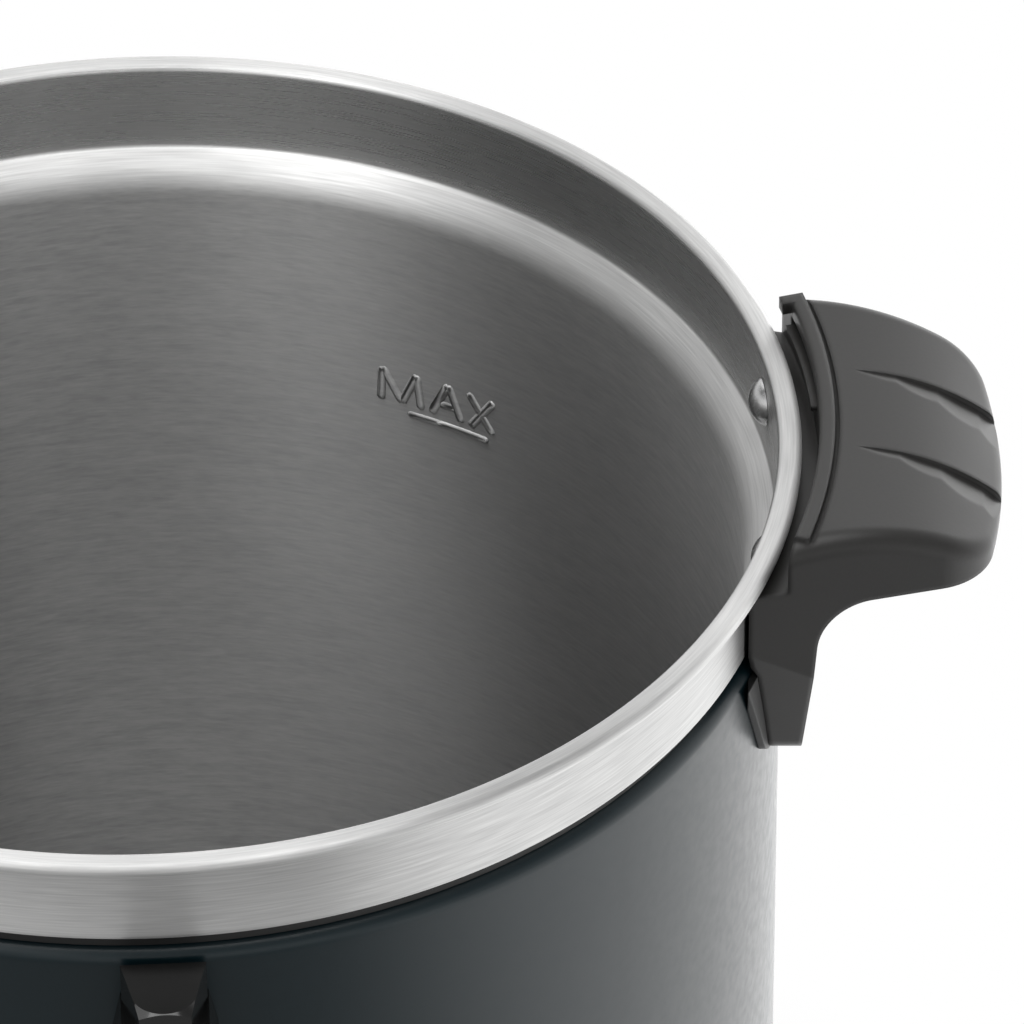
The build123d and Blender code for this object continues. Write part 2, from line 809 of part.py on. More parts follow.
# Boil-dry sensor against the heat plate
sensor_top = heat_low - seat_gap
with BuildPart() as dry_sensor:
    with BuildSketch(Plane.XY.offset(sensor_top)):
        Circle(sensor_radius)
    extrude(amount=-sensor_height)
    with BuildSketch(Plane.XY.offset(sensor_top - sensor_height)):
        with Locations((-sensor_blade_spread, 0), (sensor_blade_spread, 0)):
            Rectangle(sensor_blade_thick, sensor_blade_width)
    extrude(amount=-sensor_blade_drop)
dry_sensor.part.label = "dry_sensor"
export_step(dry_sensor.part, "parts/dry_sensor.step")

# Cut-out switch on the bottom plate with a bore for the reset button
cutout_low = plate_high + seat_gap
with BuildPart() as cutout_body:
    with BuildSketch(Plane.XY.offset(cutout_low)):
        with Locations((0, cutout_place)):
            Circle(cutout_radius)
    extrude(amount=cutout_height)
    with BuildSketch(Plane.XY.offset(cutout_low)):
        with Locations((0, cutout_place)):
            Circle(reset_radius + run_gap)
    extrude(amount=reset_length, mode=Mode.SUBTRACT)
cutout_body.part.label = "cutout_body"
export_step(cutout_body.part, "parts/cutout_body.step")

# Reset button under the base
reset_low = plate_low - reset_show
with BuildPart() as reset_button:
    with BuildSketch(Plane.XY.offset(reset_low)):
        with Locations((0, cutout_place)):
            Circle(reset_radius)
    extrude(amount=cutout_low + reset_length - reset_stroke - move_gap - reset_low)
    chamfer(reset_button.edges().sort_by(Axis.Z)[0], move_gap)
reset_button.part.label = "reset_button"
export_step(reset_button.part, "parts/reset_button.step")

# Scale plate behind the dial
dial_face = body_radius + dial_plate_rise
with BuildPart() as dial_plate:
    with BuildSketch(radial_plane(front_angle, body_inside - overrun, panel_height)):
        Circle(dial_plate_radius)
        Circle(dial_shaft_radius + 2 * move_gap, mode=Mode.SUBTRACT)
    extrude(amount=dial_face - body_inside + overrun)
    with BuildSketch(Plane.XY):
        Circle(body_radius + seat_gap)
    extrude(amount=rim_height, mode=Mode.SUBTRACT)
dial_plate.part.label = "dial_plate"
export_step(dial_plate.part, "parts/dial_plate.step")

# Temperature dial with a grip bar
knob_back = dial_face + move_gap
with BuildPart() as dial_knob:
    with BuildSketch(radial_plane(front_angle, knob_back, panel_height)):
        Circle(knob_radius)
    extrude(amount=knob_disc_depth)
    fillet(dial_knob.faces().sort_by(Axis.Y)[0].edges(), knob_round)
    with BuildSketch(radial_plane(front_angle, knob_back + knob_disc_depth / 2, panel_height)):
        SlotOverall(2 * knob_radius - knob_round, knob_bar_width, rotation=quarter_turn)
    extrude(amount=knob_depth - knob_disc_depth / 2)
    fillet(dial_knob.faces().sort_by(Axis.Y)[0].edges(), knob_bar_round)
    with BuildSketch(radial_plane(front_angle, knob_back, panel_height)):
        Circle(dial_shaft_radius + seat_gap)
    extrude(amount=knob_disc_depth, mode=Mode.SUBTRACT)
dial_knob.part.label = "dial_knob"
export_step(dial_knob.part, "parts/dial_knob.step")

# Dial shaft from the knob into the thermostat
stat_front = stat_back - stat_depth
shaft_start = stat_front + 4 * move_gap
with BuildPart() as dial_shaft:
    with BuildSketch(radial_plane(front_angle, shaft_start, panel_height)):
        Circle(dial_shaft_radius)
    extrude(amount=knob_back + knob_disc_depth - seat_gap - shaft_start)
dial_shaft.part.label = "dial_shaft"
export_step(dial_shaft.part, "parts/dial_shaft.step")

# Thermostat behind the dial
with BuildPart() as thermostat:
    with BuildSketch(radial_plane(front_angle, stat_front, panel_height)):
        Rectangle(2 * stat_half_width, 2 * stat_half_height)
    extrude(amount=stat_depth)
    with BuildSketch(radial_plane(front_angle, stat_front + 3 * move_gap, panel_height)):
        Circle(dial_shaft_radius + run_gap)
    extrude(amount=stat_depth, mode=Mode.SUBTRACT)
thermostat.part.label = "thermostat"
export_step(thermostat.part, "parts/thermostat.step")

# Housing of the on and off switch
switch_face = body_radius + switch_rise
rocker_plane = radial_plane(switch_angle, switch_face - rocker_hinge_depth, panel_height)
hinge_plane = Plane(origin=rocker_plane.origin, x_dir=rocker_plane.y_dir, z_dir=rocker_plane.x_dir)
tilt_line = rocker_plane.y_dir * cos(radians(rocker_tilt)) + rocker_plane.z_dir * sin(radians(rocker_tilt))
with BuildPart() as switch_housing:
    with BuildSketch(radial_plane(switch_angle, body_inside - overrun, panel_height)):
        Rectangle(2 * switch_half_width, 2 * switch_half_height)
    extrude(amount=switch_face - body_inside + overrun)
    with BuildSketch(Plane.XY):
        Circle(body_radius + seat_gap)
    extrude(amount=rim_height, mode=Mode.SUBTRACT)
    neck_inset = switch_body_inset + seat_gap
    with BuildSketch(radial_plane(switch_angle, switch_face - switch_body_depth, panel_height)):
        Rectangle(2 * (switch_half_width - neck_inset), 2 * (switch_half_height - neck_inset))
    extrude(amount=switch_body_depth - switch_rise / 2)
    with BuildSketch(radial_plane(switch_angle, switch_face - switch_pocket_depth, panel_height)):
        Rectangle(2 * switch_pocket_half_width, 2 * switch_pocket_half_height)
    extrude(amount=switch_pocket_depth + overrun, mode=Mode.SUBTRACT)
    with BuildSketch(hinge_plane):
        Circle(trunnion_radius + run_gap)
    extrude(amount=trunnion_half + move_gap, both=True, mode=Mode.SUBTRACT)
switch_housing.part.label = "switch_housing"
export_step(switch_housing.part, "parts/switch_housing.step")

# Rocker of the switch on two trunnions, drawn tilted to its off side
with BuildPart() as switch_rocker:
    with BuildSketch(Plane(origin=rocker_plane.origin, x_dir=tilt_line, z_dir=rocker_plane.x_dir)):
        with BuildLine():
            rocker_bottom = ThreePointArc((-rocker_under, 0), (0, -rocker_under), (rocker_under, 0))
            rocker_top = ThreePointArc(
                (rocker_half_length, rocker_end_rise),
                (0, rocker_mid_rise),
                (-rocker_half_length, rocker_end_rise),
            )
            Line(rocker_bottom @ 1, rocker_top @ 0)
            Line(rocker_top @ 1, rocker_bottom @ 0)
        make_face()
    extrude(amount=rocker_half_width, both=True)
    with BuildSketch(hinge_plane):
        Circle(trunnion_radius)
    extrude(amount=trunnion_half, both=True)
switch_rocker.part.label = "switch_rocker"
export_step(switch_rocker.part, "parts/switch_rocker.step")

# Lens of the power lamp
lamp_seat = body_radius + hole_gap
with BuildPart() as power_lamp:
    lamp_line = spin_plane(lamp_angles[0], lamp_seat, panel_height)
    with BuildSketch(lamp_line):
        with BuildLine():
            lamp_edge = (lamp_flange_thick, lamp_flange_radius - lamp_flange_thick / 2)
            lamp_tip = (lamp_flange_thick + lamp_dome, 0)
            Polyline(
                (-lamp_depth, 0),
                (-lamp_depth, lamp_radius - seat_gap),
                (0, lamp_radius - seat_gap),
                (0, lamp_flange_radius),
                lamp_edge,
            )
            TangentArc(lamp_tip, lamp_edge, tangent=(0, 1))
            Line(lamp_tip, (-lamp_depth, 0))
        make_face()
    revolve(axis=Axis(lamp_line.origin, lamp_line.x_dir))
power_lamp.part.label = "power_lamp"
export_step(power_lamp.part, "parts/power_lamp.step")

# Lens of the ready lamp
with BuildPart() as ready_lamp:
    add(power_lamp.part, rotation=(0, 0, lamp_angles[1] - lamp_angles[0]))
ready_lamp.part.label = "ready_lamp"
export_step(ready_lamp.part, "parts/ready_lamp.step")

# Mains inlet, a hollow socket for an appliance connector
inlet_face = body_radius + inlet_rise
inlet_back = inlet_face - inlet_hollow_depth - inlet_floor
with BuildPart() as mains_inlet:
    with BuildSketch(radial_plane(back_angle, body_inside - overrun, panel_height)):
        Rectangle(2 * inlet_half_width, 2 * inlet_half_height)
    extrude(amount=inlet_face - body_inside + overrun)
    with BuildSketch(Plane.XY):
        Circle(body_radius + seat_gap)
    extrude(amount=rim_height, mode=Mode.SUBTRACT)
    inlet_inset = inlet_neck_inset + seat_gap
    with BuildSketch(radial_plane(back_angle, inlet_back, panel_height)):
        Rectangle(2 * (inlet_half_width - inlet_inset), 2 * (inlet_half_height - inlet_inset))
    extrude(amount=inlet_hollow_depth + inlet_floor - inlet_rise / 2)
    with BuildSketch(radial_plane(back_angle, inlet_face - inlet_hollow_depth, panel_height)):
        Rectangle(2 * inlet_hollow_half_width, 2 * inlet_hollow_half_height)
    extrude(amount=inlet_hollow_depth + overrun, mode=Mode.SUBTRACT)
    pin_spots = [
        (-inlet_pin_spread, -inlet_pin_step),
        (0, inlet_pin_step),
        (inlet_pin_spread, -inlet_pin_step),
    ]
    with BuildSketch(radial_plane(back_angle, inlet_back, panel_height)):
        with Locations(pin_spots):
            Rectangle(inlet_pin_thick + seat_gap, inlet_pin_width + seat_gap)
    extrude(amount=inlet_floor, mode=Mode.SUBTRACT)
mains_inlet.part.label = "mains_inlet"
export_step(mains_inlet.part, "parts/mains_inlet.step")

# Inlet pin, live
with BuildPart() as live_pin:
    with BuildSketch(radial_plane(back_angle, inlet_back - inlet_tail, panel_height)):
        with Locations(pin_spots[0]):
            Rectangle(inlet_pin_thick, inlet_pin_width)
    extrude(amount=inlet_tail + inlet_floor + inlet_pin_length)
live_pin.part.label = "live_pin"
export_step(live_pin.part, "parts/live_pin.step")

# Inlet pin, earth
with BuildPart() as earth_pin:
    with BuildSketch(radial_plane(back_angle, inlet_back - inlet_tail, panel_height)):
        with Locations(pin_spots[1]):
            Rectangle(inlet_pin_thick, inlet_pin_width)
    extrude(amount=inlet_tail + inlet_floor + inlet_pin_length)
earth_pin.part.label = "earth_pin"
export_step(earth_pin.part, "parts/earth_pin.step")

# Inlet pin, neutral
with BuildPart() as neutral_pin:
    with BuildSketch(radial_plane(back_angle, inlet_back - inlet_tail, panel_height)):
        with Locations(pin_spots[2]):
            Rectangle(inlet_pin_thick, inlet_pin_width)
    extrude(amount=inlet_tail + inlet_floor + inlet_pin_length)
neutral_pin.part.label = "neutral_pin"
export_step(neutral_pin.part, "parts/neutral_pin.step")

# Glass gauge tube
tube_low = socket_top - socket_depth + gauge_ring_height + 2 * seat_gap
tube_top = rim_height - cap_drop - cap_height - seat_gap
with BuildPart() as gauge_tube:
    with BuildSketch(Plane.XY.offset(tube_low)):
        with Locations((0, -gauge_place)):
            Circle(tube_outer)
            Circle(tube_inner, mode=Mode.SUBTRACT)
    extrude(amount=tube_top - tube_low)
gauge_tube.part.label = "gauge_tube"
export_step(gauge_tube.part, "parts/gauge_tube.step")

# Seal ring under the gauge tube
with BuildPart() as gauge_ring:
    with BuildSketch(Plane.XY.offset(socket_top - socket_depth + seat_gap)):
        with Locations((0, -gauge_place)):
            Circle(tube_outer)
            Circle(tube_inner, mode=Mode.SUBTRACT)
    extrude(amount=gauge_ring_height)
gauge_ring.part.label = "gauge_ring"
export_step(gauge_ring.part, "parts/gauge_ring.step")

# Guard round the gauge tube, open to the front, drawn in at its top
guard_low = socket_top + seat_gap
guard_top = rim_height - cap_drop - cap_height - seat_gap
with BuildPart() as gauge_guard:
    with BuildSketch(Plane.XY.offset(guard_low)) as guard_plan:
        with BuildLine():
            Polyline(
                (-guard_half_width, -body_radius + overrun),
                (-guard_half_width, -guard_front),
                (guard_half_width, -guard_front),
                (guard_half_width, -body_radius + overrun),
                close=True,
            )
        make_face()
        chamfer(guard_plan.vertices().group_by(Axis.Y)[0], guard_corner)
        with Locations((0, -gauge_place)):
            Circle(guard_channel, mode=Mode.SUBTRACT)
        with BuildLine():
            Polyline(
                (-guard_slot_half, -gauge_place),
                (-guard_slot_half, -guard_front - overrun),
                (guard_slot_half, -guard_front - overrun),
                (guard_slot_half, -gauge_place),
                close=True,
            )
        make_face(mode=Mode.SUBTRACT)
    extrude(amount=guard_top - guard_low)
    with BuildSketch(Plane.XZ):
        with BuildLine():
            Polyline(
                (-guard_half_width, guard_low),
                (-guard_half_width, guard_top - guard_flare),
                (-guard_top_half, guard_top),
                (guard_top_half, guard_top),
                (guard_half_width, guard_top - guard_flare),
                (guard_half_width, guard_low),
                close=True,
            )
        make_face()
    extrude(amount=guard_front + overrun, mode=Mode.INTERSECT)
    with BuildSketch(Plane.XY):
        Circle(body_radius + seat_gap)
    extrude(amount=rim_height, mode=Mode.SUBTRACT)
gauge_guard.part.label = "gauge_guard"
export_step(gauge_guard.part, "parts/gauge_guard.step")

# Cap on top of the gauge, narrowing to the front, with coned front corners and a plug into the tube
cap_top = rim_height - cap_drop
with BuildPart() as gauge_cap:
    with BuildSketch(Plane.XY.offset(cap_top - cap_height)):
        with BuildLine():
            Polyline(
                (-cap_back_half, -gauge_place + cap_back_reach),
                (-cap_front_half, -gauge_place - cap_front_reach),
                (cap_front_half, -gauge_place - cap_front_reach),
                (cap_back_half, -gauge_place + cap_back_reach),
                close=True,
            )
        make_face()
    extrude(amount=cap_height)
    with BuildSketch(Plane(origin=(0, -gauge_place, 0), x_dir=(1, 0, 0), z_dir=(0, -1, 0))):
        with BuildLine():
            Polyline(
                (cap_circle, cap_top),
                (cap_circle + overrun, cap_top - cap_slope_share * overrun),
                (cap_circle + overrun, cap_top + overrun),
                (cap_circle, cap_top + overrun),
                close=True,
            )
        make_face()
    cap_axis = Axis((0, -gauge_place, 0), (0, 0, -1))
    revolve(axis=cap_axis, revolution_arc=half_turn, mode=Mode.SUBTRACT)
    with BuildSketch(Plane.XY.offset(cap_top - cap_height)):
        with Locations((0, -gauge_place)):
            Circle(tube_inner - hole_gap)
    extrude(amount=-cap_plug_length)
gauge_cap.part.label = "gauge_cap"
export_step(gauge_cap.part, "parts/gauge_cap.step")

# Gasket between the tap flange and the body
with BuildPart() as tap_gasket:
    with BuildSketch(radial_plane(front_angle, body_inside - overrun, tap_height)):
        Circle(tap_flange_radius)
        Circle(tap_pipe_radius + seat_gap, mode=Mode.SUBTRACT)
    extrude(amount=tap_gasket_face - seat_gap - body_inside + overrun)
    with BuildSketch(Plane.XY):
        Circle(body_radius + seat_gap)
    extrude(amount=rim_height, mode=Mode.SUBTRACT)
tap_gasket.part.label = "tap_gasket"
export_step(tap_gasket.part, "parts/tap_gasket.step")

# Spacer between the tank wall and the body round the tap pipe
with BuildPart() as tap_spacer:
    with BuildSketch(radial_plane(front_angle, tank_radius - overrun, tap_height)):
        Circle(tap_spacer_radius)
        Circle(tap_pipe_radius + seat_gap, mode=Mode.SUBTRACT)
    extrude(amount=body_radius - tank_radius + 2 * overrun)
    with BuildSketch(Plane.XY):
        Circle(body_inside - seat_gap)
        Circle(tank_back + seat_gap, mode=Mode.SUBTRACT)
    extrude(amount=rim_height, mode=Mode.INTERSECT)
tap_spacer.part.label = "tap_spacer"
export_step(tap_spacer.part, "parts/tap_spacer.step")

# Nut inside the tank that holds the tap
nut_corner = tap_nut_half / cos(radians(half_turn / tap_nut_sides))
nut_seat = sqrt(tank_radius**2 - nut_corner**2) - hole_gap
with BuildPart() as tap_nut:
    with BuildSketch(radial_plane(front_angle, nut_seat, tap_height)):
        RegularPolygon(tap_nut_half, tap_nut_sides, major_radius=False)
        Circle(tap_pipe_radius + seat_gap, mode=Mode.SUBTRACT)
    extrude(amount=-tap_nut_thick)
tap_nut.part.label = "tap_nut"
export_step(tap_nut.part, "parts/tap_nut.step")

# Tap body: inlet pipe, flange, gauge socket, valve barrel and spout
with BuildPart() as tap_body:
    with BuildSketch(radial_plane(front_angle, tap_pipe_end, tap_height)):
        Circle(tap_pipe_radius)
    extrude(amount=tap_place - tap_pipe_end)
    with BuildSketch(radial_plane(front_angle, tap_gasket_face, tap_height)):
        Circle(tap_flange_radius)
    extrude(amount=tap_flange_thick)
    with BuildSketch(Plane.XY.offset(tap_height)):
        with Locations((0, -gauge_place)):
            Circle(socket_radius)
    extrude(amount=socket_top - tap_height)
    with BuildSketch(Plane.XY.offset(barrel_low)):
        with Locations((0, -tap_place)):
            Circle(barrel_radius)
    extrude(amount=barrel_top - barrel_low)
    with BuildSketch(Plane.XY.offset(barrel_low)):
        with Locations((0, -tap_place)):
            Circle(spout_root)
    with BuildSketch(Plane.XY.offset(spout_low)):
        with Locations((0, -tap_place)):
            Circle(spout_radius)
    loft()
    with BuildSketch(radial_plane(front_angle, tap_pipe_end, tap_height)):
        Circle(tap_pipe_bore)
    extrude(amount=tap_place - tap_pipe_end, mode=Mode.SUBTRACT)
    with BuildSketch(Plane.XY.offset(tap_height)):
        with Locations((0, -gauge_place)):
            Circle(tube_inner)
    extrude(amount=socket_top - tap_height, mode=Mode.SUBTRACT)
    with BuildSketch(Plane.XY.offset(socket_top)):
        with Locations((0, -gauge_place)):
            Circle(tube_outer + seat_gap)
    extrude(amount=-socket_depth, mode=Mode.SUBTRACT)
    with BuildSketch(Plane.XY.offset(seat_height)):
        with Locations((0, -tap_place)):
            Circle(barrel_bore)
    extrude(amount=barrel_top - seat_height, mode=Mode.SUBTRACT)
    with BuildSketch(Plane.XY.offset(seat_height)):
        with Locations((0, -tap_place)):
            Circle(seat_radius)
    extrude(amount=barrel_low - seat_height, mode=Mode.SUBTRACT)
    with BuildSketch(Plane.XY.offset(barrel_low)):
        with Locations((0, -tap_place)):
            Circle(spout_bore)
    extrude(amount=spout_low - barrel_low, mode=Mode.SUBTRACT)
tap_body.part.label = "tap_body"
export_step(tap_body.part, "parts/tap_body.step")

# Bonnet that closes the barrel and carries the lever's two ears
bonnet_low = barrel_top + seat_gap
bonnet_top = bonnet_low + bonnet_height
with BuildPart() as tap_bonnet:
    with BuildSketch(Plane.XY.offset(bonnet_low)):
        with Locations((0, -tap_place)):
            Circle(bonnet_radius)
    extrude(amount=bonnet_height)
    fillet(tap_bonnet.edges().sort_by(Axis.Z)[-1], bonnet_round)
    with BuildSketch(Plane.YZ):
        with BuildLine():
            ear_round = CenterArc((-pivot_place, pivot_height), ear_half_depth, 0, half_turn)
            Polyline(
                ear_round @ 1,
                (-pivot_place - ear_half_depth, bonnet_low + bonnet_height / 2),
                (-pivot_place + ear_half_depth, bonnet_low + bonnet_height / 2),
                ear_round @ 0,
            )
        make_face()
    extrude(amount=ear_outer, both=True)
    with BuildSketch(Plane.YZ):
        with BuildLine():
            Polyline(
                (-pivot_place - 2 * ear_half_depth, bonnet_top),
                (-pivot_place + 2 * ear_half_depth, bonnet_top),
                (-pivot_place + 2 * ear_half_depth, pivot_height + 2 * ear_half_depth),
                (-pivot_place - 2 * ear_half_depth, pivot_height + 2 * ear_half_depth),
                close=True,
            )
        make_face()
    extrude(amount=ear_inner, both=True, mode=Mode.SUBTRACT)
    with BuildSketch(Plane.YZ):
        with Locations((-pivot_place, pivot_height)):
            Circle(pin_radius + seat_gap)
    extrude(amount=ear_outer + overrun, both=True, mode=Mode.SUBTRACT)
    with BuildSketch(Plane.XY.offset(bonnet_low)):
        with Locations((0, -tap_place)):
            Circle(stem_radius + run_gap)
    extrude(amount=bonnet_height + overrun, mode=Mode.SUBTRACT)
tap_bonnet.part.label = "tap_bonnet"
export_step(tap_bonnet.part, "parts/tap_bonnet.step")

# Lever pin
with BuildPart() as lever_pin:
    with BuildSketch(Plane.YZ):
        with Locations((-pivot_place, pivot_height)):
            Circle(pin_radius)
    extrude(amount=pin_half, both=True)
lever_pin.part.label = "lever_pin"
export_step(lever_pin.part, "parts/lever_pin.step")

# Tap lever: eye, lifting fork and thumb paddle
with BuildPart() as tap_lever:
    with BuildSketch(Plane.YZ):
        with Locations((-pivot_place, pivot_height)):
            Circle(lever_eye)
        with BuildLine():
            Polyline(
                (-pivot_place, pivot_height + lever_eye),
                (-pivot_place, pivot_height - lever_eye / 2),
                (-pivot_place - paddle_start - paddle_half, pivot_height),
                (-pivot_place - paddle_start - paddle_half, pivot_height + lever_eye + lever_thick / 2),
                close=True,
            )
        make_face()
    extrude(amount=lever_half, both=True)
    with BuildSketch(Plane.YZ):
        with BuildLine():
            Polyline(
                (-pivot_place, pivot_height - fork_bar_half),
                (-tap_place, pivot_height - fork_bar_half),
                (-tap_place, pivot_height + fork_bar_half),
                (-pivot_place, pivot_height + fork_bar_half),
                close=True,
            )
        make_face()
        with Locations((-tap_place, pivot_height)):
            Circle(fork_pad)
    extrude(amount=lever_half, both=True)
    with BuildSketch(Plane.YZ):
        with BuildLine():
            Polyline(
                (-pivot_place + lever_eye, pivot_height - 2 * lever_eye),
                (-tap_place + 2 * lever_eye, pivot_height - 2 * lever_eye),
                (-tap_place + 2 * lever_eye, pivot_height + 2 * lever_eye),
                (-pivot_place + lever_eye, pivot_height + 2 * lever_eye),
                close=True,
            )
        make_face()
    extrude(amount=fork_inner, both=True, mode=Mode.SUBTRACT)
    paddle_low = pivot_height + lever_thick / 4
    with BuildSketch(Plane.YZ):
        with BuildLine():
            Polyline(
                (-pivot_place - paddle_start, paddle_low),
                (-pivot_place - paddle_start, paddle_low + lever_thick),
                (-pivot_place - lever_reach, paddle_low + lever_thick / 2 + lever_rise),
                (-pivot_place - lever_reach, paddle_low + lever_rise),
                close=True,
            )
        make_face()
    extrude(amount=paddle_half, both=True)
    tip_edges = tap_lever.edges().filter_by(Axis.Z).group_by(Axis.Y)[0]
    fillet(tip_edges, paddle_round)
    with BuildSketch(Plane.YZ):
        with Locations((-pivot_place, pivot_height)):
            Circle(pin_radius + run_gap)
    extrude(amount=lever_half + overrun, both=True, mode=Mode.SUBTRACT)
tap_lever.part.label = "tap_lever"
export_step(tap_lever.part, "parts/tap_lever.step")

# Valve cup on the seat
valve_low = seat_height + hole_gap
valve_top = valve_low + valve_height
with BuildPart() as valve_cup:
    with BuildSketch(Plane.XY.offset(valve_low)):
        with Locations((0, -tap_place)):
            Circle(valve_radius)
    extrude(amount=valve_height)
    with BuildSketch(Plane.XY.offset(valve_top)):
        with Locations((0, -tap_place)):
            Circle(stem_radius + seat_gap)
    extrude(amount=-valve_socket, mode=Mode.SUBTRACT)
valve_cup.part.label = "valve_cup"
export_step(valve_cup.part, "parts/valve_cup.step")

# Valve stem with its lifting head
head_low = pivot_height + fork_pad + move_gap
with BuildPart() as tap_stem:
    with BuildSketch(Plane.XY.offset(valve_top - valve_socket + seat_gap)):
        with Locations((0, -tap_place)):
            Circle(stem_radius)
    extrude(amount=head_low - valve_top + valve_socket)
    with BuildSketch(Plane.XY.offset(head_low)):
        with Locations((0, -tap_place)):
            Circle(stem_head_radius)
    extrude(amount=stem_head_height)
    fillet(tap_stem.edges().sort_by(Axis.Z)[-1], stem_head_height / 2)
tap_stem.part.label = "tap_stem"
export_step(tap_stem.part, "parts/tap_stem.step")

# Closing spring round the stem
spring_low = valve_top + spring_wire + hole_gap
spring_high = bonnet_low - spring_wire - hole_gap
with BuildPart() as tap_spring:
    with BuildLine():
        spring_path = Helix(
            (spring_high - spring_low) / spring_turns,
            spring_high - spring_low,
            spring_radius,
            center=(0, -tap_place, spring_low),
        )
    with BuildSketch(Plane(origin=spring_path @ 0, z_dir=spring_path % 0)):
        Circle(spring_wire)
    sweep(is_frenet=True)
tap_spring.part.label = "tap_spring"
export_step(tap_spring.part, "parts/tap_spring.step")
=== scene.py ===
import json
import math

import bmesh
import bpy
from mathutils import Matrix, Vector


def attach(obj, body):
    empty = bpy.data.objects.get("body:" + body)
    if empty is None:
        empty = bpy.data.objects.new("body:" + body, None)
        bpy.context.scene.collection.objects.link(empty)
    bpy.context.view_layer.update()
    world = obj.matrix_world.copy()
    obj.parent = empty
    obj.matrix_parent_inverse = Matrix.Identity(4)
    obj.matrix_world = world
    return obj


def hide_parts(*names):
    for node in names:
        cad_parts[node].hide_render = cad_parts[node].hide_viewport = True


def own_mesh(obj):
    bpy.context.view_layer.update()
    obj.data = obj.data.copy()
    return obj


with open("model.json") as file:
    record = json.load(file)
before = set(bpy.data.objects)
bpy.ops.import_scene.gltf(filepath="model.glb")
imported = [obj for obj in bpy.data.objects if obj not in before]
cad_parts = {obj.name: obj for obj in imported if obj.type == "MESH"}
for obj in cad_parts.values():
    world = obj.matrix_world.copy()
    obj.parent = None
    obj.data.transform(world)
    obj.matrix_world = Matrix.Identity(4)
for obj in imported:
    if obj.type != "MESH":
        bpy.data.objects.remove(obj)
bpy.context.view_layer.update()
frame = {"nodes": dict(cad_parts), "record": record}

scene = bpy.context.scene
nodes = frame["nodes"]

# Sizes of the urn in metres
RIM = 0.380
TANK_R = 0.119
BODY_R = 0.1263
PANEL_Z = 0.046

# Where the steel's brush lines, roughness and painted shade on the inner wall change: through the sheet's
# thickness, and up the tank
SHEET_MIDDLE = (0.1254, 0.1258)
WALL_TOP = (0.3510, 0.3565)
COLLAR_FOOT = (0.3585, 0.3605)


class Tree:
    """Node tree of a material or the world, with short calls for the nodes used here."""

    def __init__(self, tree):
        self.tree = tree
        self.tree.nodes.clear()

    def add(self, kind, **settings):
        node = self.tree.nodes.new(kind)
        for key, value in settings.items():
            setattr(node, key, value)
        return node

    def link(self, a, b):
        self.tree.links.new(a, b)

    def put(self, socket, value):
        if isinstance(value, bpy.types.NodeSocket):
            self.link(value, socket)
        else:
            socket.default_value = value

    def calc(self, operation, *values):
        node = self.add("ShaderNodeMath", operation=operation)
        for socket, value in zip(node.inputs, values):
            self.put(socket, value)
        return node.outputs[0]

    def weigh(self, a, share, b):
        """Share of a plus the rest of b."""
        return self.calc("ADD", self.calc("MULTIPLY", a, share), self.calc("MULTIPLY", b, 1.0 - share))

    def spread(self, value, low_in, high_in, low, high):
        node = self.add("ShaderNodeMapRange")
        self.put(node.inputs["Value"], value)
        node.inputs["From Min"].default_value = low_in
        node.inputs["From Max"].default_value = high_in
        self.put(node.inputs["To Min"], low)
        self.put(node.inputs["To Max"], high)
        return node.outputs["Result"]

    def ease(self, value, low_in, high_in, low, high):
        result = self.spread(value, low_in, high_in, low, high)
        result.node.interpolation_type = "SMOOTHSTEP"
        return result

    def parts(self, vector):
        node = self.add("ShaderNodeSeparateXYZ")
        self.link(vector, node.inputs[0])
        return [node.outputs[axis] for axis in "XYZ"]

    def reach(self, x, y):
        """Distance from the upright axis."""
        return self.calc("SQRT", self.calc("ADD", self.calc("POWER", x, 2.0), self.calc("POWER", y, 2.0)))

    def source(self, kind, color, strength):
        node = self.add(kind)
        node.inputs["Color"].default_value = color
        self.put(node.inputs["Strength"], strength)
        return node.outputs[0]

    def pick(self, factor, a, b):
        node = self.add("ShaderNodeMixShader")
        for socket, value in zip(node.inputs, (factor, a, b)):
            self.link(value, socket)
        return node.outputs[0]


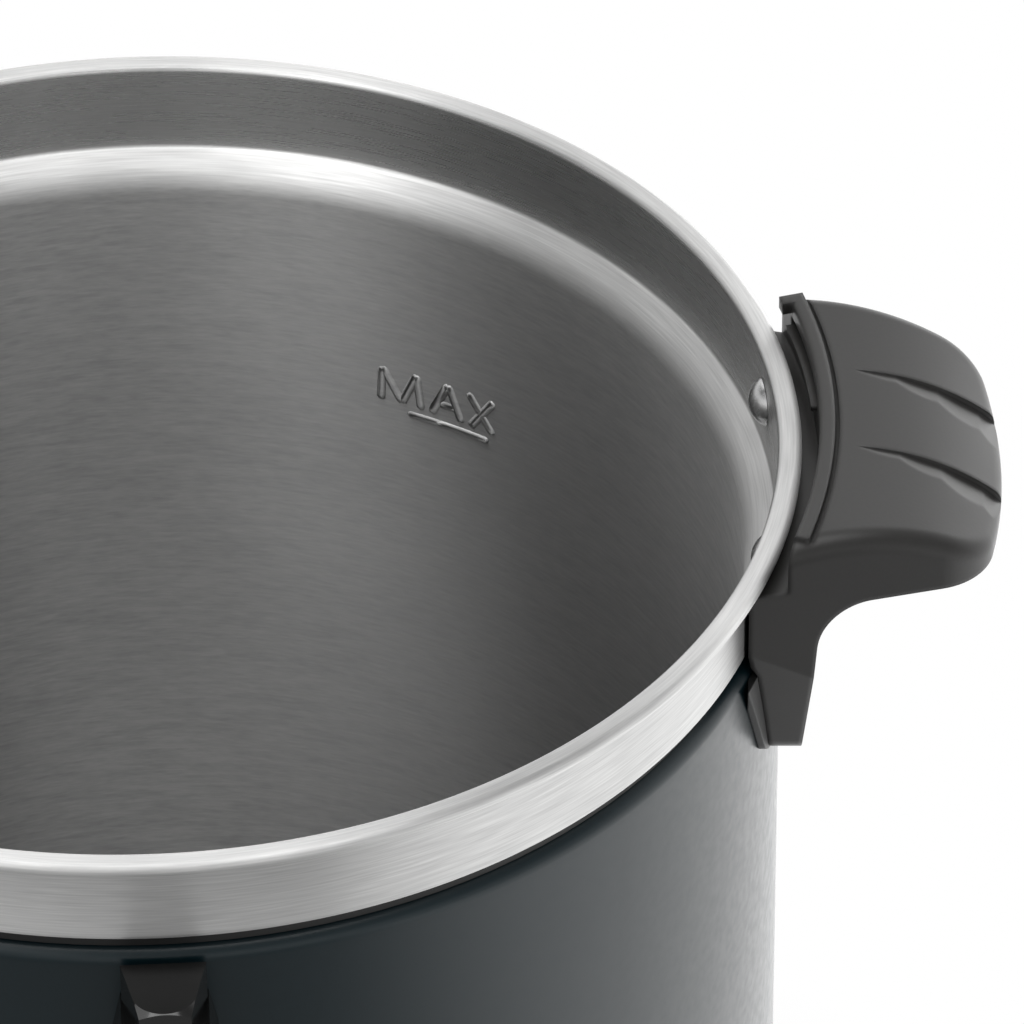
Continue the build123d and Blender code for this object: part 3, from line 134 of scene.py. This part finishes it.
class Shader(Tree):
    """Material with a principled surface."""

    def __init__(self, name):
        self.mat = bpy.data.materials.new(name)
        self.mat.use_nodes = True
        super().__init__(self.mat.node_tree)
        self.out = self.add("ShaderNodeOutputMaterial")
        self.bsdf = self.add("ShaderNodeBsdfPrincipled")
        self.link(self.bsdf.outputs["BSDF"], self.out.inputs["Surface"])

    def give(self, socket, value):
        self.put(self.bsdf.inputs[socket], value)

    def place(self):
        return self.add("ShaderNodeTexCoord").outputs["Object"]

    def noise(self, vector, scale, detail=2.0, rough=0.5):
        node = self.add("ShaderNodeTexNoise")
        self.put(node.inputs["Vector"], vector)
        node.inputs["Scale"].default_value = scale
        node.inputs["Detail"].default_value = detail
        node.inputs["Roughness"].default_value = rough
        return node.outputs["Fac"]

    def mix(self, factor, a, b):
        node = self.add("ShaderNodeMix", data_type="RGBA")
        self.put(node.inputs["Factor"], factor)
        self.put(node.inputs["A"], a)
        self.put(node.inputs["B"], b)
        return node.outputs["Result"]

    def tint(self, tone, low_in, high_in, low, high):
        """Base colour that goes from low to high with a tone."""
        self.give("Base Color", self.mix(self.spread(tone, low_in, high_in, 0.0, 1.0), low, high))

    def bump(self, height, strength, distance=0.0002):
        node = self.add("ShaderNodeBump")
        node.inputs["Strength"].default_value = strength
        node.inputs["Distance"].default_value = distance
        self.put(node.inputs["Height"], height)
        self.link(node.outputs["Normal"], self.bsdf.inputs["Normal"])
        return node

    def soft_edges(self, bump, radius):
        node = self.add("ShaderNodeBevel", samples=4)
        node.inputs["Radius"].default_value = radius
        self.link(node.outputs["Normal"], bump.inputs["Normal"])

    def around(self, polar, turn_scale, length_scale):
        """Coordinates that run round the upright axis, so noise on them gives level brush lines."""
        joined = self.add("ShaderNodeCombineXYZ")
        for way, scale, socket in zip(polar, (turn_scale, length_scale, length_scale), joined.inputs):
            self.link(self.calc("MULTIPLY", way, scale), socket)
        return joined.outputs[0]


def grey(value):
    return (value, value, value, 1.0)


def brushed_steel(name, low, high, rough):
    """Satin sheet with short brush lines on the tank wall and finer ones on the spun collar, lip and band; the
    inner wall is also darkened with painted shade.
    """
    s = Shader(name)
    x, y, height = s.parts(s.place())
    radius = s.reach(x, y)
    polar = (s.calc("ARCTAN2", y, x), radius, height)
    fine = s.noise(s.around(polar, 26.0, 1400.0), 1.0, 2.0, 0.6)
    coarse = s.noise(s.around(polar, 8.0, 560.0), 1.0)
    cloud = s.noise(s.around(polar, 2.2, 16.0), 1.0, 3.0, 0.55)
    hair = s.noise(s.around(polar, 9.0, 2600.0), 1.0)
    inside = s.ease(radius, *SHEET_MIDDLE, 1.0, 0.0)
    wall = s.calc("MULTIPLY", inside, s.ease(height, *WALL_TOP, 1.0, 0.0))
    spun = s.calc("MULTIPLY", inside, s.ease(height, *COLLAR_FOOT, 0.0, 1.0))
    lines = s.spread(wall, 0.0, 1.0, s.spread(hair, 0.0, 1.0, 0.30, 0.70), s.weigh(fine, 0.6, coarse))
    tone = s.spread(s.weigh(lines, 0.8, cloud), 0.36, 0.64, 0.0, 1.0)
    # The tank's inner wall is pulled a third of the way to dark grey: painted shade inside the tank
    s.give("Base Color", s.mix(s.calc("MULTIPLY", wall, 0.34), s.mix(tone, low, high), grey(0.18)))
    s.give("Metallic", 1.0)
    scatter = s.spread(lines, 0.3, 0.7, rough + 0.05, rough - 0.05)
    s.give("Roughness", s.calc("SUBTRACT", scatter, s.calc("MULTIPLY", spun, 0.17)))
    s.give("Anisotropic", 0.95)
    s.give("Anisotropic Rotation", 0.25)
    tangent = s.add("ShaderNodeTangent", direction_type="RADIAL", axis="Z")
    s.give("Tangent", tangent.outputs[0])
    s.bump(lines, 0.12, 0.0003)
    return s.mat


def body_paint(name):
    s = Shader(name)
    flake = s.noise(s.place(), 5200.0, 1.0)
    peel = s.noise(s.place(), 420.0)
    cloud = s.noise(s.place(), 9.0)
    s.tint(s.weigh(flake, 0.55, cloud), 0.35, 0.65, (0.003, 0.0125, 0.0165, 1), (0.005, 0.016, 0.021, 1))
    s.give("Roughness", s.spread(peel, 0.3, 0.7, 0.28, 0.34))
    s.give("Specular IOR Level", 0.31)
    s.bump(peel, 0.03)
    return s.mat


def moulded(name, low, high, rough, grain=0.05, edge=0.0, shine=0.5):
    s = Shader(name)
    fine = s.noise(s.place(), 1600.0)
    cloud = s.noise(s.place(), 38.0, 3.0, 0.55)
    s.tint(s.weigh(fine, 0.4, cloud), 0.3, 0.7, low, high)
    s.give("Roughness", s.spread(cloud, 0.3, 0.7, rough - 0.04, rough + 0.05))
    s.give("Specular IOR Level", shine)
    bump = s.bump(fine, grain)
    if edge:
        s.soft_edges(bump, edge)
    return s.mat


def plain_metal(name, low, high, rough):
    s = Shader(name)
    fine = s.noise(s.place(), 900.0, 3.0, 0.6)
    cloud = s.noise(s.place(), 60.0)
    s.tint(s.weigh(fine, 0.4, cloud), 0.3, 0.7, low, high)
    s.give("Metallic", 1.0)
    s.give("Roughness", s.spread(fine, 0.3, 0.7, rough - 0.04, rough + 0.06))
    s.bump(fine, 0.04)
    return s.mat


def lens(name, low, high):
    s = Shader(name)
    cloud = s.noise(s.place(), 240.0)
    s.tint(cloud, 0.3, 0.7, low, high)
    s.give("Roughness", s.spread(cloud, 0.3, 0.7, 0.10, 0.18))
    s.give("Transmission Weight", 0.25)
    s.bump(cloud, 0.03)
    return s.mat


def clear_glass(name):
    s = Shader(name)
    cloud = s.noise(s.place(), 70.0)
    s.give("Base Color", s.mix(cloud, (0.93, 0.97, 0.97, 1), (0.97, 0.99, 0.99, 1)))
    s.give("Roughness", s.spread(cloud, 0.3, 0.7, 0.02, 0.06))
    s.give("Transmission Weight", 1.0)
    s.give("IOR", 1.47)
    return s.mat


# One material for each slot of the record: how it is made, its darkest and lightest colour, and its other settings
FINISHES = {
    "tank_steel": (brushed_steel, grey(0.41), (0.64, 0.639, 0.632, 1), {"rough": 0.45}),
    "handle_plastic": (
        moulded,
        (0.023, 0.0222, 0.0212, 1),
        (0.029, 0.028, 0.0268, 1),
        {"rough": 0.38, "edge": 0.0014, "shine": 0.32},
    ),
    "black_gloss": (moulded, grey(0.004), grey(0.008), {"rough": 0.14, "grain": 0.01}),
    "black_matt": (moulded, grey(0.010), grey(0.017), {"rough": 0.50, "edge": 0.0005}),
    "black_rubber": (moulded, grey(0.012), grey(0.022), {"rough": 0.72, "grain": 0.10}),
    # Near-black ring that fills the gap between the tank's collar and the body's shoulder
    "seal_silicone": (moulded, grey(0.004), grey(0.008), {"rough": 0.60}),
    "rivet_steel": (plain_metal, grey(0.64), grey(0.76), {"rough": 0.24}),
    "plate_steel": (plain_metal, grey(0.42), grey(0.55), {"rough": 0.36}),
    "heat_alloy": (plain_metal, grey(0.52), grey(0.64), {"rough": 0.48}),
    "contact_brass": (plain_metal, (0.55, 0.40, 0.18, 1), (0.68, 0.52, 0.26, 1), {"rough": 0.30}),
    "red_lens": (lens, (0.36, 0.012, 0.010, 1), (0.52, 0.025, 0.018, 1), {}),
    "green_lens": (lens, (0.018, 0.26, 0.040, 1), (0.035, 0.38, 0.065, 1), {}),
    "red_button": (moulded, (0.30, 0.012, 0.010, 1), (0.40, 0.022, 0.016, 1), {"rough": 0.30}),
    "cream_moulding": (moulded, (0.42, 0.37, 0.28, 1), (0.52, 0.47, 0.37, 1), {"rough": 0.50}),
}
MATERIALS = {slot: make(slot, low, high, **more) for slot, (make, low, high, more) in FINISHES.items()}
MATERIALS["body_paint"] = body_paint("body_paint")
MATERIALS["gauge_glass"] = clear_glass("gauge_glass")
for entry in frame["record"]["subparts"]:
    data = nodes[entry["node"]].data
    data.materials.clear()
    data.materials.append(MATERIALS[entry["material_slot"]])


def finish_piece(name, bm, slot, body="urn"):
    mesh = bpy.data.meshes.new(name)
    bm.to_mesh(mesh)
    bm.free()
    for polygon in mesh.polygons:
        polygon.use_smooth = True
    piece = bpy.data.objects.new(name, mesh)
    scene.collection.objects.link(piece)
    mesh.materials.append(MATERIALS[slot])
    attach(piece, body)
    return piece


# Spun sheet pieces: a profile in millimetres turned round the axis, with runs parted at sharp corners
def arc(centre, radius, start, end, steps):
    turns = [math.radians(start + (end - start) * i / steps) for i in range(steps + 1)]
    return [(centre[0] + radius * math.cos(t), centre[1] + radius * math.sin(t)) for t in turns]


def fillet(before, at, after, radius, steps=12):
    """Points of a fillet at a corner of a profile."""
    at = Vector(at)
    one = (Vector(before) - at).normalized()
    two = (Vector(after) - at).normalized()
    half = one.angle(two) / 2
    middle = at + (one + two).normalized() * (radius / math.sin(half))
    first = at + one * (radius / math.tan(half)) - middle
    last = at + two * (radius / math.tan(half)) - middle
    swing = first.angle_signed(last)
    return [tuple(middle + Matrix.Rotation(-swing * i / steps, 2) @ first) for i in range(steps + 1)]


def with_stays(points, stay=2.0):
    """The same profile with added points close to the ends of its long straight runs."""
    out = [points[0]]
    for a, b in zip(points, points[1:]):
        a, b = Vector(a), Vector(b)
        length = (b - a).length
        if length > 4 * stay:
            out += [tuple(a.lerp(b, stay / length)), tuple(a.lerp(b, 1 - stay / length))]
        out.append(tuple(b))
    return out


def lathe(name, runs, slot, steps=288):
    bm = bmesh.new()
    turns = [2 * math.pi * i / steps for i in range(steps)]
    for run in runs:
        rings = []
        for r, z in with_stays(run):
            rings.append([bm.verts.new((r * math.cos(t) / 1000, r * math.sin(t) / 1000, z / 1000)) for t in turns])
        for a, b in zip(rings, rings[1:]):
            for i in range(steps):
                j = (i + 1) % steps
                bm.faces.new((a[i], b[i], b[j], a[j]))
    return finish_piece(name, bm, slot)


# Tank: wall, ledge, collar and folded lip, inside and then outside
WALL_IN, WALL_OUT = 119.0, 120.0
COLLAR_IN, COLLAR_OUT = 125.2, 126.2
LEDGE_TOP, LEDGE_FOOT = 359.6, 355.4
OUTER_TOP, OUTER_FOOT = 359.0696, 354.8696
TANK_LOW = 78.05
LIP_BEND, LIP_MIDDLE = 1.5, 378.5
LIP_LOW, FOLD_TOP = 377.0, 377.9
FOLD_START, FOLD_END, FOLD_EDGE = 126.7, 128.5, 127.1
tank_in = [(WALL_IN, TANK_LOW)]
tank_in += fillet((WALL_IN, TANK_LOW), (WALL_IN, LEDGE_FOOT), (COLLAR_IN, LEDGE_TOP), 7.5, 20)
tank_in += fillet((WALL_IN, LEDGE_FOOT), (COLLAR_IN, LEDGE_TOP), (COLLAR_IN, LIP_MIDDLE), 1.0, 8)
tank_in += arc((FOLD_START, LIP_MIDDLE), LIP_BEND, 180, 90, 10)
tank_in += arc((FOLD_END, LIP_MIDDLE), LIP_BEND, 90, -90, 16)
tank_in += [(FOLD_EDGE, LIP_LOW)]
tank_fold = [(FOLD_EDGE, LIP_LOW), (FOLD_EDGE, FOLD_TOP), (COLLAR_OUT, FOLD_TOP)]
tank_band = [(COLLAR_OUT, FOLD_TOP)]
tank_band += fillet((COLLAR_OUT, FOLD_TOP), (COLLAR_OUT, OUTER_TOP), (WALL_OUT, OUTER_FOOT), 2.0)
tank_band += fillet((COLLAR_OUT, OUTER_TOP), (WALL_OUT, OUTER_FOOT), (WALL_OUT, TANK_LOW), 6.5, 16)
tank_band += [(WALL_OUT, TANK_LOW)]
tank_foot = [(WALL_OUT, TANK_LOW), (WALL_IN, TANK_LOW)]
tank_skin = lathe("tank_skin", [tank_in, tank_fold, tank_band, tank_foot], "tank_steel")
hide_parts("inner_tank")

# Painted body with its rounded shoulder
SHELL_OUT, SHELL_IN, SHELL_NECK = 126.3, 125.5, 122.4
SHELL_LOW, SHOULDER, SHOULDER_UNDER = 11.05, 355.6954, 354.8954
shell_out = [(SHELL_OUT, SHELL_LOW)]
shell_out += fillet((SHELL_OUT, SHELL_LOW), (SHELL_OUT, SHOULDER), (SHELL_NECK, SHOULDER), 3.3, 16)
shell_out += [(SHELL_NECK, SHOULDER)]
shell_in = [(SHELL_NECK, SHOULDER_UNDER)]
shell_in += fillet((SHELL_NECK, SHOULDER_UNDER), (SHELL_IN, SHOULDER_UNDER), (SHELL_IN, SHELL_LOW), 2.5)
shell_in += [(SHELL_IN, SHELL_LOW)]
shell_loop = [shell_out, [shell_out[-1], shell_in[0]], shell_in, [shell_in[-1], shell_out[0]]]
shell_skin = lathe("shell_skin", [run[::-1] for run in shell_loop], "body_paint")
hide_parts("body_shell")

# Weld round the tank's floor
weld = [(117.2, TANK_LOW)] + arc((117.0, 80.0), 2.0, -86, -4, 8) + [(118.98, 80.2)]
lathe("floor_weld", [weld], "plate_steel", 144)

# Marks are rounded ridges along strokes; their profile is given in shares of half width and rise
RIDGE = [(-1.0, -0.15), (-0.8, 0.45), (-0.4, 0.9), (0.0, 1.0), (0.4, 0.9), (0.8, 0.45), (1.0, -0.15)]
END_WIDTH, END_RISE = 0.55, 0.25


def ridge(bm, points, half, rise, wrap):
    """Rounded ridge along a run of flat points; wrap(u, v, h) gives a point in space, h above the face."""
    rows = []
    runs = [Vector(p) for p in points]
    for i, p in enumerate(runs):
        ahead = (runs[min(i + 1, len(runs) - 1)] - runs[max(i - 1, 0)]).normalized()
        end = i in (0, len(runs) - 1)
        side = Vector((-ahead.y, ahead.x)) * half * (END_WIDTH if end else 1.0)
        top = rise * (END_RISE if end else 1.0)
        rows.append([bm.verts.new(wrap(p.x + side.x * a, p.y + side.y * a, b * top)) for a, b in RIDGE])
    for a, b in zip(rows, rows[1:]):
        for j in range(len(RIDGE) - 1):
            bm.faces.new((a[j], a[j + 1], b[j + 1], b[j]))
    bm.faces.new(rows[0])
    bm.faces.new(list(reversed(rows[-1])))


def stroke(a, b, steps=9):
    a, b = Vector(a), Vector(b)
    near = min(0.25, 0.0006 / (b - a).length)
    shares = [0.0, near] + [near + (1 - 2 * near) * i / steps for i in range(1, steps)] + [1 - near, 1.0]
    return [a.lerp(b, t) for t in shares]


def marks(name, runs, wrap, slot, body="urn"):
    """Piece of ridges; each run has its points, half width and rise."""
    bm = bmesh.new()
    for points, half, rise in runs:
        ridge(bm, points, half, rise, wrap)
    bmesh.ops.recalc_face_normals(bm, faces=bm.faces)
    finish_piece(name, bm, slot, body)


# Fill mark pressed into the tank wall: three letters and a line under them
MARK_AZ = math.radians(58.3)
MARK_Z = RIM - 0.0722
LETTER_LOW, LETTER_HIGH = -0.0044, 0.0044
BAR_V = LETTER_LOW + 0.0031
LINE_V = LETTER_LOW - 0.0021
LETTERS = [
    ((-0.0134, LETTER_LOW), (-0.0130, LETTER_HIGH)),
    ((-0.0130, LETTER_HIGH), (-0.0086, LETTER_LOW + 0.0004)),
    ((-0.0086, LETTER_LOW + 0.0004), (-0.0050, LETTER_HIGH)),
    ((-0.0050, LETTER_HIGH), (-0.0040, LETTER_LOW)),
    ((-0.0016, LETTER_LOW), (0.0026, LETTER_HIGH)),
    ((0.0026, LETTER_HIGH), (0.0058, LETTER_LOW)),
    ((0.0004, BAR_V), (0.0046, BAR_V)),
    ((0.0076, LETTER_HIGH), (0.0138, LETTER_LOW)),
    ((0.0080, LETTER_LOW), (0.0140, LETTER_HIGH)),
]


def on_tank(u, v, h):
    angle = MARK_AZ - u / TANK_R
    radius = TANK_R - h
    return Vector((radius * math.cos(angle), radius * math.sin(angle), MARK_Z + v))


fill_runs = [(stroke(a, b), 0.00105, 0.00042) for a, b in LETTERS]
fill_runs.append((stroke((-0.0072, LINE_V), (0.0126, LINE_V)), 0.00085, 0.0006))
marks("fill_mark", fill_runs, on_tank, "tank_steel")

# Marks on the panel: a scale on the dial's plate, a pointer on its grip bar, and I and O on the rocker
PLATE_Y = -0.1289
BAR_Y = -0.1443
PRINT_RISE = 0.00014
TICK_TURNS = [0.0] + [45.0 + 22.5 * i for i in range(11)]
TICK_IN, TICK_SHORT, TICK_LONG = 0.0178, 0.0195, 0.0203
TICK_THIN, TICK_BOLD = 0.00035, 0.0006


def on_plate(u, v, h):
    return Vector((u, PLATE_Y - h, PANEL_Z + v))


def on_bar(u, v, h):
    return Vector((u, BAR_Y - h, PANEL_Z + v))


ticks = []
for index, turn in enumerate(TICK_TURNS):
    way = Vector((math.sin(math.radians(turn)), math.cos(math.radians(turn))))
    bold = index in (0, len(TICK_TURNS) - 1)
    tick_out = TICK_LONG if bold or index % 2 == 0 else TICK_SHORT
    ticks.append((stroke(way * TICK_IN, way * tick_out, 3), TICK_BOLD if bold else TICK_THIN, PRINT_RISE))
marks("dial_scale", ticks, on_plate, "cream_moulding")
pointer = [(stroke((0.0, 0.0050), (0.0, 0.0136), 4), 0.0007, PRINT_RISE)]
marks("dial_pointer", pointer, on_bar, "cream_moulding", "dial")

SWITCH_AZ = math.radians(-114.0)
ROCKER_TILT = math.radians(7.0)
AXLE_IN = 0.0027
ROCKER_HALF, ROCKER_MIDDLE, ROCKER_HOLLOW = 0.0084, 0.0044, 0.0011
RING_V, RING_R, SIGN_HALF = -0.0052, 0.0016, 0.0003
rocker_out = Vector((math.cos(SWITCH_AZ), math.sin(SWITCH_AZ), 0))
rocker_across = Vector((-math.sin(SWITCH_AZ), math.cos(SWITCH_AZ), 0))
rocker_along = Vector((0, 0, 1)) * math.cos(ROCKER_TILT) + rocker_out * math.sin(ROCKER_TILT)
rocker_rise = rocker_across.cross(rocker_along)
rocker_axle = rocker_out * (BODY_R - AXLE_IN) + Vector((0, 0, PANEL_Z))


def on_rocker(u, v, h):
    face = ROCKER_MIDDLE + ROCKER_HOLLOW * (v / ROCKER_HALF) ** 2
    return rocker_axle + rocker_along * v + rocker_rise * (face + h) + rocker_across * u


turns = [math.radians(-90 + 15 * i) for i in range(25)]
ring = [(RING_R * math.cos(t), RING_V + RING_R * math.sin(t)) for t in turns]
signs = [(stroke((0.0, 0.0036), (0.0, 0.0068), 4), SIGN_HALF, PRINT_RISE), (ring, SIGN_HALF, PRINT_RISE)]
marks("rocker_marks", signs, on_rocker, "cream_moulding", "rocker")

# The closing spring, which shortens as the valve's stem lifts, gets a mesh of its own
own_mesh(nodes["tap_spring"])

# Pale floor: it shows the object's shadow near it and is white further out; in reflections it glows, brighter to
# the right, as painted light
FLOOR_REACH = 6.0
floor_mesh = bpy.data.meshes.new("floor")
corners = [(x * FLOOR_REACH, y * FLOOR_REACH, 0) for x, y in ((-1, -1), (1, -1), (1, 1), (-1, 1))]
floor_mesh.from_pydata(corners, [], [(0, 1, 2, 3)])
floor = bpy.data.objects.new("floor", floor_mesh)
scene.collection.objects.link(floor)
f = Shader("floor_white")
f.give("Roughness", 0.9)
f.give("Base Color", f.mix(f.noise(f.place(), 3.0), grey(0.80), grey(0.84)))
floor_x, floor_y, _ = f.parts(f.place())
across = f.calc("ADD", floor_x, f.calc("MULTIPLY", floor_y, 0.55))
# Only glossy rays see this glow, from half to twice white and rising to the right: a painted reflection of a
# bright studio on the steel and paint
glossy_glow = f.source("ShaderNodeEmission", grey(1.0), f.ease(across, -0.10, 0.36, 0.50, 2.05))
white = f.source("ShaderNodeEmission", grey(1.0), 1.0)
path = f.add("ShaderNodeLightPath").outputs
far = f.ease(f.reach(floor_x, floor_y), 0.13, 0.30, 0.2, 1.0)
seen = f.calc("MAXIMUM", path["Is Camera Ray"], path["Is Transmission Ray"])
near_floor = f.pick(path["Is Glossy Ray"], f.bsdf.outputs[0], glossy_glow)
f.link(f.pick(f.calc("MULTIPLY", seen, far), near_floor, white), f.out.inputs["Surface"])
floor_mesh.materials.append(f.mat)


def soft_light(name, place, size, size_y, power):
    """Rectangular lamp that faces the upper part of the urn."""
    data = bpy.data.lights.new(name, "AREA")
    data.shape = "RECTANGLE"
    data.size = size
    data.size_y = size_y
    data.energy = power
    lamp = bpy.data.objects.new(name, data)
    lamp.location = place
    lamp.rotation_euler = (Vector((0, 0, 0.3)) - Vector(place)).to_track_quat("-Z", "Y").to_euler()
    scene.collection.objects.link(lamp)


soft_light("top_box", (-0.05, -0.25, 2.3), 1.6, 1.2, 23.0)
soft_light("back_box", (0.5, 1.3, 1.9), 1.2, 0.8, 4.0)
soft_light("right_box", (1.3, 1.6, 0.6), 1.4, 1.2, 6.0)

# World: white to the camera and through glass, an even soft light, and a studio room in the gloss
world = bpy.data.worlds.new("studio")
scene.world = world
world.use_nodes = True
w = Tree(world.node_tree)
w_path = w.add("ShaderNodeLightPath").outputs
w_way = w.add("ShaderNodeTexCoord").outputs["Generated"]
w_x, w_y, w_z = w.parts(w_way)
w_turn = w.add("ShaderNodeVectorMath", operation="DOT_PRODUCT")
w.link(w_way, w_turn.inputs[0])
w_turn.inputs[1].default_value = (0.6, 0.8, 0.0)
right_wall = w.spread(w_x, -0.9, 0.3, 0.02, 0.38)
front_wall = w.spread(w_y, 0.0, -0.9, 0.0, 0.24)
back_wall = w.spread(w_turn.outputs["Value"], 0.40, 0.60, 0.0, 0.75)
back_panel = w.calc("MULTIPLY", back_wall, w.spread(w_z, 0.82, 0.66, 0.0, 1.0))
low_walls = w.spread(w_z, 0.50, 0.32, 0.0, 0.60)
roof_height = w.calc("MULTIPLY_ADD", w.calc("ABSOLUTE", w_y), 0.45, w_z)
left_roof = w.calc("MULTIPLY", w.spread(w_x, -0.10, -0.45, 0.0, 1.0), w.spread(roof_height, 0.71, 0.84, 0.0, 2.0))
room_light = w.calc("ADD", right_wall, front_wall)
for part in (back_panel, low_walls, left_roof):
    room_light = w.calc("ADD", room_light, part)
soft = w.source("ShaderNodeBackground", (0.98, 0.99, 1.0, 1.0), 0.35)
room = w.source("ShaderNodeBackground", grey(1.0), room_light)
backdrop = w.source("ShaderNodeBackground", grey(1.0), 1.0)
w_seen = w.calc("MAXIMUM", w_path["Is Camera Ray"], w_path["Is Transmission Ray"])
w_out = w.add("ShaderNodeOutputWorld")
w.link(w.pick(w_seen, w.pick(w_path["Is Glossy Ray"], soft, room), backdrop), w_out.inputs["Surface"])

# Camera fitted to the photograph; its place is given from the rim's centre, before the yaw
YAW = math.radians(-3.03)
PITCH = math.radians(38.54)
ROLL = math.radians(-0.47)
CAMERA_FROM_RIM = (0.07270795, -1.28214308, 1.00124138)
FOCAL_PIXELS, FRAME_PIXELS, SENSOR_MM = 8249.0, 1024.0, 36.0
forward = Vector((-math.cos(PITCH) * math.sin(YAW), math.cos(PITCH) * math.cos(YAW), -math.sin(PITCH)))
right = Vector((math.cos(YAW), math.sin(YAW), 0))
up = right.cross(forward)
cam_right = math.cos(ROLL) * right + math.sin(ROLL) * up
cam_up = -math.sin(ROLL) * right + math.cos(ROLL) * up
cam_place = Vector((0, 0, RIM)) + Matrix.Rotation(YAW, 3, "Z") @ Vector(CAMERA_FROM_RIM)
cam_data = bpy.data.cameras.new("camera")
cam_data.sensor_width = SENSOR_MM
cam_data.lens = FOCAL_PIXELS * SENSOR_MM / FRAME_PIXELS
camera = bpy.data.objects.new("camera", cam_data)
basis = Matrix((cam_right, cam_up, -forward)).transposed()
camera.matrix_world = Matrix.Translation(cam_place) @ basis.to_4x4()
scene.collection.objects.link(camera)
scene.camera = camera

scene.view_settings.view_transform = "Standard"
